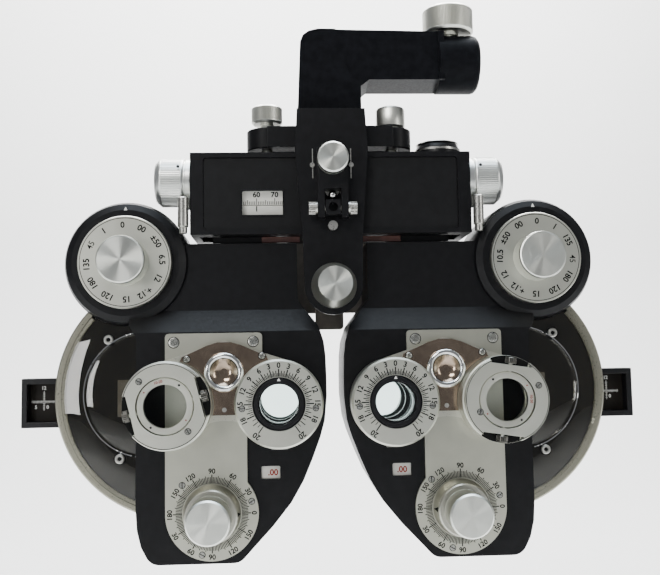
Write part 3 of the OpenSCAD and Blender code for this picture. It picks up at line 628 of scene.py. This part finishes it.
def rotary_prism(h):
    """Rotary prism: figures, screws and painted shade round the screws on the dial; steps, glass
    and a pointer in the barrel.
    """
    side, sight = h.side, h.sight
    body = f"{side}_turret"
    y_prism = -21.4
    marks = Shape()
    # Degrees from the top at which each power stands, the same on both sides
    stops = [(0, "0"), (15, "3"), (31, "6"), (49, "9"), (69, "12"), (90, "15"), (114, "18"),
             (144, "20")]
    for s in (-1, 1):
        for (a0, w0), (a1, w1) in zip(stops, stops[1:]):
            halves = 2 * (int(w1) - int(w0))
            for k in range(halves):
                a = math.pi / 2 + s * math.radians(a0 + (a1 - a0) * k / halves)
                if a0 == 0 and k == 0 and s > 0:
                    continue
                marks.tick(sight, a, 13.9, 17.9 if k == 0 else 15.8 if k % 2 else 17.0,
                           0.62 if k == 0 else 0.34 if k % 2 else 0.46, y_prism)
        a = math.pi / 2 + s * math.radians(144)
        marks.tick(sight, a, 13.9, 18.0, 0.56, y_prism)
        for deg, words in stops:
            if deg == 0 and s > 0:
                continue
            a = math.pi / 2 + s * math.radians(deg)
            marks.text(words, 2.7, polar(sight, 19.8, a), a - math.pi / 2, y_prism)
    marks.piece(f"{side}_prism_figures", ink, body)
    # Black discs a little wider than the screw heads: painted shade in the gaps round them
    screws, screw_shade = Shape(), Shape()
    for a in (186, -7):
        a = math.radians(a)
        disc(screw_shade, polar(sight, 18.9, a), 1.7, y_prism)
        slot_screw(screws, polar(sight, 18.9, a), 1.4, y_prism, turn=a)
    screw_shade.piece(f"{side}_prism_screw_shade", ink, body)
    screws.piece(f"{side}_prism_screws", screw_metal, body, "steel", bevel=0.08)
    steps = Shape()
    for r, y in ((13.5, -21.5), (12.3, -20.4), (11.4, -18.2), (10.8, -15.0)):
        steps.lathe([(r, y), (r, y - 0.35), (r - 0.35, y - 0.35), (r - 0.35, y), (r, y)],
                    (sight[0], 0, sight[1]))
    steps.piece(f"{side}_barrel_steps", black_plastic, f"{side}_prism", "black_plastic")
    glass = Shape().lathe([(0, -13.0), (9.9, -12.7), (9.9, -11.2), (0, -10.9)],
                          (sight[0], 0, sight[1]), seg=64)
    glass.piece(f"{side}_prism_glass", prism_glass, f"{side}_prism", "lens_glass", smooth=40)
    index = Shape().prism([(sight[0] - 0.9, sight[1] + 11.7), (sight[0] + 0.9, sight[1] + 11.7),
                           (sight[0], sight[1] + 13.3)], -21.75, -21.6)
    index.piece(f"{side}_prism_index", white_ink, f"{side}_prism")


def cross_cylinder(h):
    """Cross cylinder unit: screws of the frame with painted shade round them, painted shade in its
    slots and in a groove near its rim, and the flip lens in its carrier.
    """
    side, g, unit = h.side, h.g, h.unit
    frame_body, lens_body = f"{side}_cross_frame", f"{side}_cross_lens"
    y_cross, y_ring = -22.0, -21.3      # faces of the frame and of the carrier in it
    tilt = math.radians(14.0 if g < 0 else -81.5)       # of the flip axis, as in the photograph
    # Black discs a little wider than the screw heads: painted shade in the gaps round them
    screws, screw_shade = Shape(), Shape()
    dots = (((-13.0, 12.7), (11.6, -12.7)) if g < 0 else ((16.5, 7.0), (-14.4, -6.0)))
    for dx, dz in dots:
        disc(screw_shade, (unit[0] + dx, dz), 1.75, y_cross)
        slot_screw(screws, (unit[0] + dx, dz), 1.45, y_cross, turn=dx, height=0.4)
    screw_shade.piece(f"{side}_cross_screw_shade", ink, frame_body)
    screws.piece(f"{side}_cross_screws", screw_metal, frame_body, "steel", bevel=0.08)
    # Black segments deep in the two slots behind the rollers are painted shade in the slots; the
    # black ring on the face is painted shade of a groove
    rim = Shape()
    for s in (-1, 1):
        out = Vector((g * math.cos(tilt), -math.sin(tilt))) * s
        over = Vector((-out.y, out.x))
        pts = [over * t + out * 18.1 for t in (10.0, -10.0)]
        pts += [over * t + out * math.sqrt(22.7 ** 2 - t * t) for t in range(-10, 11, 2)]
        rim.prism([(unit[0] + p.x, p.y) for p in pts], -16.55, -16.35)
    ring(rim, unit, 21.25, 21.62, y_cross)
    rim.piece(f"{side}_cross_slot_and_groove_shade", ink, frame_body)
    flip = Vector((g * math.cos(tilt), 0, -math.sin(tilt)))
    middle = Vector((unit[0], -19.6, unit[1]))
    carrier = Shape().lathe([(11.0, 1.7), (11.4, 1.75), (14.0, 1.75), (14.3, 1.5), (14.3, -1.5),
                             (14.0, -1.7), (11.4, -1.7), (11.0, -1.5), (11.0, 1.7)],
                            middle, NEAR, seg=96)
    for s in (-1, 1):
        carrier.lathe([(0, 13.9), (1, 13.9), (1, 19.9), (0, 19.9)], middle, flip * s, seg=24)
        roller = Shape().lathe([(0, 18.7), (2.7, 18.7), (3.0, 19.0), (3.0, 19.15), (3.0, 21.45),
                                (3.0, 21.6), (2.7, 21.9), (0, 21.9)], middle, flip * s,
                               ribs=18, depth=0.45, ribbed=(19.1, 21.5))
        roller.piece(f"{side}_cross_roller_{'a' if s < 0 else 'b'}", dark_steel, lens_body, "steel",
                     smooth=40)
    carrier = carrier.piece(f"{side}_cross_carrier", dial, lens_body, "dial_silver",
                            smooth=30)
    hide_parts(f"{side}_cross_cyl_lens")
    glass = Shape().lathe([(0, 0.75), (10.95, 0.55), (10.95, -0.55), (0, -0.75)], middle,
                          NEAR, seg=64)
    glass.piece(f"{side}_cross_glass", lens_glass, lens_body, "lens_glass", smooth=40)
    engraved, red = Shape(), Shape()
    for k, (shape, r) in enumerate(((engraved, 0.62), (red, 0.4)) * 2):
        a = math.radians(56 if g < 0 else 124) + k * math.pi / 2
        disc(shape, polar(unit, 12.7, a), r, y_ring, 0.07, seg=20)
    a = math.radians(105 if g < 0 else 0)
    red.text("10-20", 1.35, polar(unit, 12.7, a), a - math.pi / 2, y_ring)
    engraved.piece(f"{side}_cross_dots", ink, lens_body)
    red.piece(f"{side}_cross_figures", red_ink, lens_body)


def wheel_tones(h):
    """Sphere wheel: pale knurled rim round a near-black lens disc; the near black is painted shade
    of the inside of the head.
    """
    side, wheel = h.side, h.wheel
    # Near black within 64.7 mm of the wheel axis: painted shade of the inside of the head
    NODES[f"{side}_sphere_wheel"].data.materials[0] = two_zone(
        f"{side}_wheel_zones", wheel, 64.7, (0.012, 0.011, 0.010), (0.30, 0.29, 0.23), 0.30)


def window_mask(h):
    """Black sheet behind the wheel window, painted shade of the inside of the head, with the pale
    plate of the power figures.
    """
    side, g, head, aux, wheel = h.side, h.g, h.head, h.aux, h.wheel
    dial_x, dial_z = abs(aux[0]), aux[1]
    top_z = dial_z - math.sqrt(AUX_CLEAR ** 2 - (COVER_EDGE - dial_x) ** 2)
    outline = [(COVER_EDGE, top_z), (COVER_EDGE, -54.0)]
    for i in range(101):
        x, z = polar((abs(wheel[0]), wheel[1]), WHEEL_INSIDE, math.radians(-71.5 + 1.43 * i))
        if x > COVER_EDGE and (x - dial_x) ** 2 + (z - dial_z) ** 2 > AUX_CLEAR ** 2:
            outline.append((x, z))
    rim_x, rim_z = outline[-1]
    lo_a = math.atan2(top_z - dial_z, COVER_EDGE - dial_x)
    hi_a = math.atan2(rim_z - dial_z, rim_x - dial_x)
    for k in range(1, 12):
        outline.append(polar((dial_x, dial_z), AUX_CLEAR, hi_a + (lo_a - hi_a) * k / 12))
    # The black sheet is painted shade where the inside of the head shows through the window
    shade_sheet = Shape(g).prism(outline, 13.45, 13.75)
    shade_sheet.mirror().piece(f"{side}_window_mask", dark_web, head)
    label = Shape(g).box((107.0, 13.1, -7.0), (118.0, 13.44, 13.0)).mirror()
    label.piece(f"{side}_window_label", label_grey, head, bevel=0.4)
    marks = Shape()
    for k, words in enumerate(("+1", "0", "-1")):
        marks.text(words, 2.6, (g * 112.5, 9.0 - 6.0 * k), 0, 13.1)
    marks.piece(f"{side}_window_figures", ink, head)


def wheel_window(h):
    """Wheel window: outer zone, raised round pane with a bright edge, screws with painted shade in
    and round them, and side strip.
    """
    side, g, head, aux, wheel = h.side, h.g, h.head, h.aux, h.wheel
    cut_x = COVER_EDGE - 0.2
    dome = WINDOW_DOME
    start = (abs(wheel[0]), wheel[1])

    def r_in(a):
        flat = (cut_x - start[0]) / math.cos(a)
        hit = circle_entry(start, a, dome, DOME_RADIUS)
        return max(flat, hit[1] if hit else 0.0)

    def r_out(a):
        hit = circle_entry(start, a, (abs(aux[0]), aux[1]), AUX_CLEAR - 0.1)
        return min(63.6, hit[0]) if hit and hit[0] > 0 else 63.6

    def swell(r, a):
        return 12.2 - 2.0 * math.sin(math.pi * min(1.0, max(0.0, (r - 28.0) / 36.0)))

    angles = [math.radians(-68.5 + 130.0 * i / 90) for i in range(91)]
    angles = [a for a in angles if r_out(a) - r_in(a) > 0.4]
    pane = Shape(g)
    polar_patch(pane, start, angles, r_in, r_out, swell)
    pane = pane.mirror().piece(f"{side}_window_pane", window_clear, head, "clear_plastic",
                               smooth=60)
    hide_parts(f"{side}_wheel_window")
    rim_angles = angles
    limit = math.acos((cut_x - dome[0]) / 33.6)
    angles = [-limit + 2 * limit * i / 72 for i in range(73)]
    lens = Shape(g)
    polar_patch(lens, dome, angles, lambda a: (cut_x - dome[0]) / math.cos(a), lambda a: 33.7,
                lambda r, a: 9.5 + 1.6 * (r / 33.7) ** 4)
    lens.mirror().piece(f"{side}_window_lens", window_clear, head, "clear_plastic", smooth=60)
    bead = Shape(g)
    n = 72
    for i in range(n):
        a0, a1 = (-limit + 2 * limit * k / n for k in (i, i + 1))
        pts = [polar(dome, r, a) for r, a in ((33.55, a0), (34.05, a0), (34.05, a1), (33.55, a1))]
        bead.prism(pts, 9.4, 11.6)
    bead.mirror().piece(f"{side}_window_bead", chrome, head, "chrome")
    retainer = Shape(g)
    arc = [a for a in rim_angles if r_out(a) > 63.0]
    for a0, a1 in zip(arc, arc[1:]):
        pts = [polar(start, r, a) for r, a in ((61.6, a0), (63.9, a0), (63.9, a1), (61.6, a1))]
        retainer.prism(pts, 11.9, 13.0)
    retainer.mirror().piece(f"{side}_window_retainer", rim_metal, head, "satin_plate", bevel=0.15)
    strip = Shape(g).box((106.05, 9.6, -45), (106.5, 13, 44)).mirror()
    strip.piece(f"{side}_window_strip", steel, head, "steel")
    screws = Shape(g)
    for at in WINDOW_SCREWS:
        screws.lathe([(0, 12.4), (2.6, 12.4), (2.6, 9.6), (2.2, 9.2), (1.25, 9.2), (1.15, 9.7),
                      (1.15, 10.8), (0, 10.8)], (at[0], 0, at[1]), seg=32)
    screws.mirror().piece(f"{side}_window_screws", steel, head, "steel", bevel=0.08)
    # Black disc at the bottom of each screw's socket and black ring round its head: painted shade
    # in the socket and in the gap
    screw_shade = Shape()
    for at in WINDOW_SCREWS:
        disc(screw_shade, (g * at[0], at[1]), 1.12, 10.7, 0.3, seg=24)
        screw_shade.lathe([(2.65, 12.2), (3.3, 12.2), (3.3, 10.2), (2.65, 10.2), (2.65, 12.2)],
                    (g * at[0], 0, at[1]), seg=40)
    screw_shade.piece(f"{side}_window_screw_shade", ink, head)


def vertex_sight(h):
    """Vertex distance sight: pale reticle in its recessed window."""
    side, g, head = h.side, h.g, h.head
    recess = Shape(g).box((155.5, 40.4, -10.3), (172.7, 41.0, 10.9)).mirror()
    recess.piece(f"{side}_sight_screen", dark_web, head)
    reticle = Shape()
    cx, cz = g * 164.0 - 1.0, 0.8
    reticle.box((cx - 0.12, 40.2, cz - 5.0), (cx + 0.12, 40.4, cz + 6.0))
    reticle.box((cx - 7.0, 40.2, cz - 0.12), (cx + 7.0, 40.4, cz + 0.12))
    for i in range(-9, 10):
        x = cx + i * 0.75
        reticle.box((x - 0.08, 40.2, cz - 0.8), (x + 0.08, 40.4, cz + 0.8))
    for i in range(-4, 6):
        reticle.box((cx - 0.7, 40.2, cz + i - 0.08), (cx + 0.7, 40.4, cz + i + 0.08))
    reticle.text("12", 1.9, (cx, cz + 7.9), 0, 40.4)
    reticle.text("5", 1.9, (cx - 4.6, cz - 3.0), 0, 40.4)
    reticle.text("0", 1.9, (cx + 2.0, cz - 3.0), 0, 40.4)
    reticle.piece(f"{side}_sight_reticle", white_ink, head)


def head_back(h):
    """Back of the head: axle caps with their screws, and the cover screws."""
    side, g, head, aux, wheel = h.side, h.g, h.head, h.aux, h.wheel
    caps = Shape(g)
    caps.lathe([(0, HEAD_BACK), (10.5, HEAD_BACK), (10.5, 48.9), (9.8, 49.6), (7.4, 49.6),
                (7.1, 49.3), (6.8, 49.3), (6.5, 49.6), (0, 49.6)],
               (wheel[0] * g, 0, wheel[1]), seg=72)
    caps.lathe([(0, HEAD_BACK), (7.5, HEAD_BACK), (7.5, 48.8), (6.9, 49.4), (0, 49.4)],
               (aux[0] * g, 0, aux[1]), seg=64)
    caps.mirror().piece(f"{side}_axle_caps", paint_soft, head, "black_paint", smooth=40)
    screws = Shape(g)
    for (x, z), y in ((wheel, 49.5), (aux, 49.3)):
        screws.lathe([(0, y), (2.2, y), (2.2, y + 0.6), (1.7, y + 1.1), (0, y + 1.2)],
                     (x * g, 0, z), seg=28)
    for at in ((26, 80), (98, -76), (52, -76), (100, 60), (30, -52), (126, 96)):
        screws.lathe([(0, HEAD_BACK), (2.6, HEAD_BACK), (2.6, 48.9), (2.0, 49.6), (0, 49.8)],
                     (at[0], 0, at[1]), seg=28)
    screws.mirror().piece(f"{side}_back_screws", steel, head, "steel")


for side, g in SIDES:
    lens_head = Head(side, g)
    for build in (aux_dial, base_plate_marks, axis_pointer, power_readout, shield, rotary_prism,
                  cross_cylinder, wheel_tones, window_mask, wheel_window, vertex_sight, head_back):
        build(lens_head)


# ---------------------------------------------------------------- bridge, bracket and hanger

# Distance scale: cream plate with divisions above, pointer plate below
y_scale = 7.0
mark_60 = -41.3             # x of the 60 mm mark and of the pointer
scale = Shape()
for mm in range(-7, 15):
    x = mark_60 + mm
    tall = 3.6 if mm % 10 == 0 else 2.6 if mm % 5 == 0 else 1.9
    scale.box((x - 0.19, y_scale - 0.06, 107.9), (x + 0.19, y_scale, 107.9 + tall))
for mm, words in ((0, "60"), (10, "70")):
    scale.text(words, 2.9, (mark_60 + mm, 113.6), 0, y_scale)
scale.piece("pd_figures", ink, "left_slide")
mark = Shape().box((mark_60 - 0.3, y_scale - 0.06, 104.2), (mark_60 + 0.3, y_scale, 107.2))
mark.piece("pd_pointer", ink, "right_slide")
window = Shape()
for x0, x1, z0, z1 in ((-49.6, -26.3, 100.9, 101.5), (-49.6, -26.3, 115.2, 115.8),
                       (-49.6, -49.0, 101.5, 115.2), (-26.9, -26.3, 101.5, 115.2)):
    window.box((x0, 3.2, z0), (x1, 3.8, z1))
window.piece("pd_window_frame", paint, "bridge", "black_paint", bevel=0.2)

# Red plates of the two carriages, seen under the bridge
for side, g in SIDES:
    plate = Shape(g).box((17.6, 12.2, 87.5), (38.8, 13.9, 90.8))
    plate.box((30.5, 13.8, 87.5), (38.8, 16.0, 90.8)).mirror()
    plate.piece(f"{side}_carriage_plate", red_oxide, f"{side}_slide", "red_oxide", bevel=0.3)
    cover = Shape(g).box((38.9, 12.8, 87.5), (66.0, 14.0, 90.8))
    cover.box((56.0, 13.9, 87.5), (62.0, 16.0, 90.8)).mirror()
    cover.piece(f"{side}_carriage_cover", paint, f"{side}_slide", "black_paint", bevel=0.3)

# Back plate of the bridge with its screws
back = Shape().box((-71.0, 42.9, 97.0), (71.0, 44.0, 131.5))
back.piece("bridge_back_plate", paint_soft, "bridge", "black_paint", bevel=0.5)
screws = Shape()
for x in (-66.0, 66.0):
    for z in (101.5, 127.0):
        screws.lathe([(0, 43.9), (2.4, 43.9), (2.4, 44.6), (1.9, 45.2), (0, 45.4)], (x, 0, z),
                     seg=28)
screws.piece("bridge_back_screws", steel, "bridge", "steel")


def turned_knob(name, node, mat, body, at, axis, profile, ribs, depth, span):
    """A turned knob with fine straight knurling in a span; it replaces its CAD node, if named."""
    shape = Shape().lathe(profile, at, axis, ribs=ribs, depth=depth, ribbed=span)
    obj = shape.piece(name, mat, body, "turned_aluminium", smooth=38)
    if node:
        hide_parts(node)


def knurled(r, h0, h1, chamfer, core):
    """Profile of a knob's head from h0 to h1, knurled between its chamfers, on its core."""
    c = chamfer
    return core + [(r - c, h0), (r, h0 + c), (r, h0 + c + 0.3), (r, h0 + c + 0.45),
                   (r, h1 - c - 0.45), (r, h1 - c - 0.3), (r, h1 - c), (r - c, h1), (0, h1)]


turned_knob("arm_clamp_grip", "arm_clamp_knob", spun_up, "arm_clamp", (70.9, 22, 208.7), UP,
            knurled(14.6, 1.1, 15.9, 1.2, [(0, -6.4), (4, -6.4), (4, 0), (6, 0), (6, 1.1)]),
            110, 0.4, (2.7, 14.3))
turned_knob("level_grip", "level_knob", spun_up, "level_screw", (-35.3, 18, 152.6), UP,
            knurled(8.7, 3.0, 13.2, 1.1, [(0, -13.6), (3, -13.6), (3, 0), (3.8, 0), (3.8, 3.0)]),
            64, 0.3, (4.5, 11.7))
turned_knob("rod_clamp_grip", "rod_clamp_knob", spun, "near_rod_clamp", (0, -12.8, 128.4),
            NEAR, knurled(8.25, 0, 7.5, 0.8, [(0, -7), (3, -7), (3, 0)]), 64, 0.25, (1.2, 6.3))
forehead = (0, -4.4, 61.6)
skirt = Shape().lathe([(0, -2.6), (6, -2.6), (6, 0), (11.6, 0), (12.2, 0.8), (12.2, 2.6),
                       (11.9, 3.2), (9.3, 14.6), (0, 14.6)], forehead, NEAR)
skirt = skirt.piece("forehead_skirt", dial, "forehead_screw", "turned_aluminium", smooth=30)
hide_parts("forehead_knob")
turned_knob("forehead_cap", None, spun, "forehead_screw", forehead, NEAR,
            [(0, 14.5), (9.2, 14.5), (9.45, 14.7), (9.45, 14.8), (9.45, 15.0), (9.45, 16.2),
             (9.45, 16.3), (9.0, 17.0), (0, 17.0)], 72, 0.25, (14.9, 16.25))
for side, g in SIDES:
    x, y, z = g * 80.9, 1.4, 91.4
    lever = Shape().lathe([(0, 0), (1.9, 0), (2.2, 0.3), (2.2, 3.2), (2.9, 3.9), (2.9, 19.4),
                           (2.3, 20.0), (0, 20.1)], (x, y, z), UP, seg=48)
    lever.lathe([(0, -3.6), (1.5, -3.6), (1.5, 0.4), (3.0, 0.4), (3.0, 6.6), (0, 6.6)],
                (g * 77.4, 8, 108.5), (g, 0, 0), seg=32)
    lever.box((min(g * 77.8, g * 84.0), 1.4, 106.4), (max(g * 77.8, g * 84.0), 8.0, 110.6))
    lever = lever.piece(f"{side}_lever_arm", steel, f"{side}_lever", "chrome", smooth=40)
    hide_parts(f"{side}_convergence_lever")
for side, g in SIDES:
    p = joint_at(f"{side}_power_turn")
    turned_knob(f"{side}_power_grip", f"{side}_power_knob", spun, f"{side}_power",
                (p.x, -12.8, p.z), NEAR,
                knurled(11.2, 0, 17, 0.9, [(0, -26.8), (3, -26.8), (3, 0)]), 84, 0.3, (1.3, 15.7))
    turned_knob(f"{side}_pd_grip", "pd_knobs" if g > 0 else None, spun_side, "pd_drive",
                (g * 77.8, 22, 123.4), (g, 0, 0),
                [(5.01, 0), (12.8, 0), (13.4, 0.6), (13.4, 3), (12.7, 3.4), (12.7, 4.0),
                 (13.4, 4.3), (13.7, 4.7), (13.7, 5.6), (13.7, 5.8), (13.7, 16.6), (13.7, 16.8),
                 (13.6, 17.4), (11.2, 20.2), (10.6, 20.4), (0, 20.4)], 76, 0.35, (5.7, 16.7))

# Set screws of the two distance knobs
screws = Shape()
for s in (-1, 1):
    screws.lathe([(0, 0), (0.9, 0), (0.9, 0.25), (0, 0.25)],
                 (s * 84.6, 22 - 13.55, 123.4 + 6.6), axis=(0, -1, 0.35), seg=20)
screws.piece("pd_set_screws", ink, "pd_drive")

# Bright edges of the two plates either side of the near rod block, and the rivet under them
edges = Shape()
for s in (-1, 1):
    edges.box((s * 10.4 - 0.25, -4.5, 120.0), (s * 10.4 + 0.25, -4.0, 136.4))
edges.piece("bracket_edges", steel, "hanger", "steel")
rivet = Shape().lathe([(0, -8.0), (2.3, -8.0), (2.3, -8.6), (1.7, -9.5), (0, -9.9)],
                      (0, 0, 110.1), seg=28)
rivet.piece("slot_rivet", chrome, "hanger", "chrome", smooth=50)

# Spirit level: domed vial, two rings of its target, and bright bands round the housing
level = (62.6, 22.0, 136.4)     # centre and base of the vial
vial = Shape().lathe([(0, 4.05), (9.5, 4.05), (9.5, 6.2), (7.5, 6.9), (0, 7.3)],
                     level, UP, seg=64)
vial.piece("level_vial", vial_liquid, "bridge", "lens_glass", smooth=60)
level_lo, level_hi = box_of("spirit_level")
level_r = (level_hi.x - level_lo.x) / 2
band = Shape().lathe([(level_r - 0.5, -5.0), (level_r + 0.1, -5.0), (level_r + 0.1, -3.8),
                      (level_r - 0.5, -3.8), (level_r - 0.5, -5.0)],
                     (level[0], level[1], level_hi.z), UP, seg=96)
band.lathe([(9.6, -0.2), (12.2, -0.2), (12.0, 0.1), (9.8, 0.1), (9.6, -0.2)],
           (level[0], level[1], level_hi.z), UP, seg=96)
band.piece("level_band", steel, "bridge", "steel", smooth=40)
target = Shape()
for r in (3.2, 6.4):
    target.lathe([(r, 4.1), (r + 0.25, 4.1), (r + 0.25, 4.2), (r, 4.2), (r, 4.1)],
                 level, UP, seg=64)
target.piece("level_target", ink, "bridge")


# ---------------------------------------------------------------- stage, light and camera

def stage_material(name, tone, rough):
    look = Look(name, Specular_IOR_Level=0.2)
    look.tones(look.noise(2, 3), tuple(c * 0.985 for c in tone), tone)
    return look.spread(look.noise(3, 3), rough - 0.03, rough + 0.03, "Roughness").mat


def backdrop():
    """A pale floor that curves up into a plain wall behind the object."""
    floor_z, wall_y, bend = -0.62, 2.6, 0.9
    line = [(-3.0, floor_z), (wall_y - bend, floor_z)]
    for k in range(1, 13):
        a = math.radians(k * 7.5)
        line.append((wall_y - bend + bend * math.sin(a), floor_z + bend * (1 - math.cos(a))))
    line.append((wall_y, 3.2))
    verts = [(x, y, z) for x in (-4.5, 4.5) for y, z in line]
    n = len(line)
    mesh = bpy.data.meshes.new("backdrop")
    mesh.from_pydata(verts, [], [(i, i + 1, n + i + 1, n + i) for i in range(n - 1)])
    mesh.polygons.foreach_set("use_smooth", [True] * len(mesh.polygons))
    mesh.materials.append(stage_material("backdrop", (0.90, 0.90, 0.89), 0.8))
    obj = bpy.data.objects.new("backdrop", mesh)
    bpy.context.scene.collection.objects.link(obj)


def area_light(name, at, aim, size, power, tone=(1, 1, 1)):
    data = bpy.data.lights.new(name, "AREA")
    data.shape, data.size, data.size_y = "RECTANGLE", size[0], size[1]
    data.energy, data.color = power, tone
    obj = bpy.data.objects.new(name, data)
    obj.location = at
    obj.rotation_mode = "QUATERNION"
    obj.rotation_quaternion = (Vector(aim) - Vector(at)).to_track_quat("-Z", "Y")
    bpy.context.scene.collection.objects.link(obj)


backdrop()
middle = Vector((-0.062, 0.0, -0.14))
area_light("key", (-0.7, -1.4, 1.05), middle, (0.8, 0.5), 15, (1.0, 0.99, 0.96))
area_light("left_strip", (-1.05, -1.45, -0.12), middle, (0.22, 0.5), 5, (1.0, 1.0, 1.0))
area_light("fill", (1.4, -1.1, 0.25), middle, (0.35, 0.9), 6, (1.0, 0.99, 0.95))
area_light("top", (0.0, -0.1, 1.5), middle, (1.4, 1.0), 30, (0.78, 0.89, 1.0))
area_light("wall", (0.0, 1.3, 2.1), (0, 2.6, 0.1), (3.0, 0.8), 200)
area_light("floor_light", (0.0, 0.9, 1.9), (0, 1.4, -0.6), (2.8, 1.2), 60)

world = bpy.data.worlds.new("studio")
world.use_nodes = True
world.node_tree.nodes["Background"].inputs[0].default_value = (0.92, 0.95, 1.0, 1)
world.node_tree.nodes["Background"].inputs[1].default_value = 0.25
bpy.context.scene.world = world

cam_data = bpy.data.cameras.new("camera")
photo_width, focal_pixels, sensor = 660, 849.31, 36.0       # fitted to the photograph
cam_data.sensor_width, cam_data.lens = sensor, focal_pixels / photo_width * sensor
cam_data.clip_start, cam_data.clip_end = 0.02, 30
camera = bpy.data.objects.new("camera", cam_data)
bpy.context.scene.collection.objects.link(camera)
eye = (Vector((-25.08, -457.68, 22.98)) - ORIGIN) / 1000
turn = (Matrix.Rotation(-0.0506064, 3, "Z") @ Matrix.Rotation(0.0827644, 3, "X")
        @ Matrix.Rotation(0.0174776, 3, "Y"))
axes = Matrix((turn @ Vector((1, 0, 0)), turn @ Vector(UP), turn @ Vector(NEAR)))
camera.matrix_world = Matrix.Translation(eye) @ axes.transposed().to_4x4()
bpy.context.scene.camera = camera
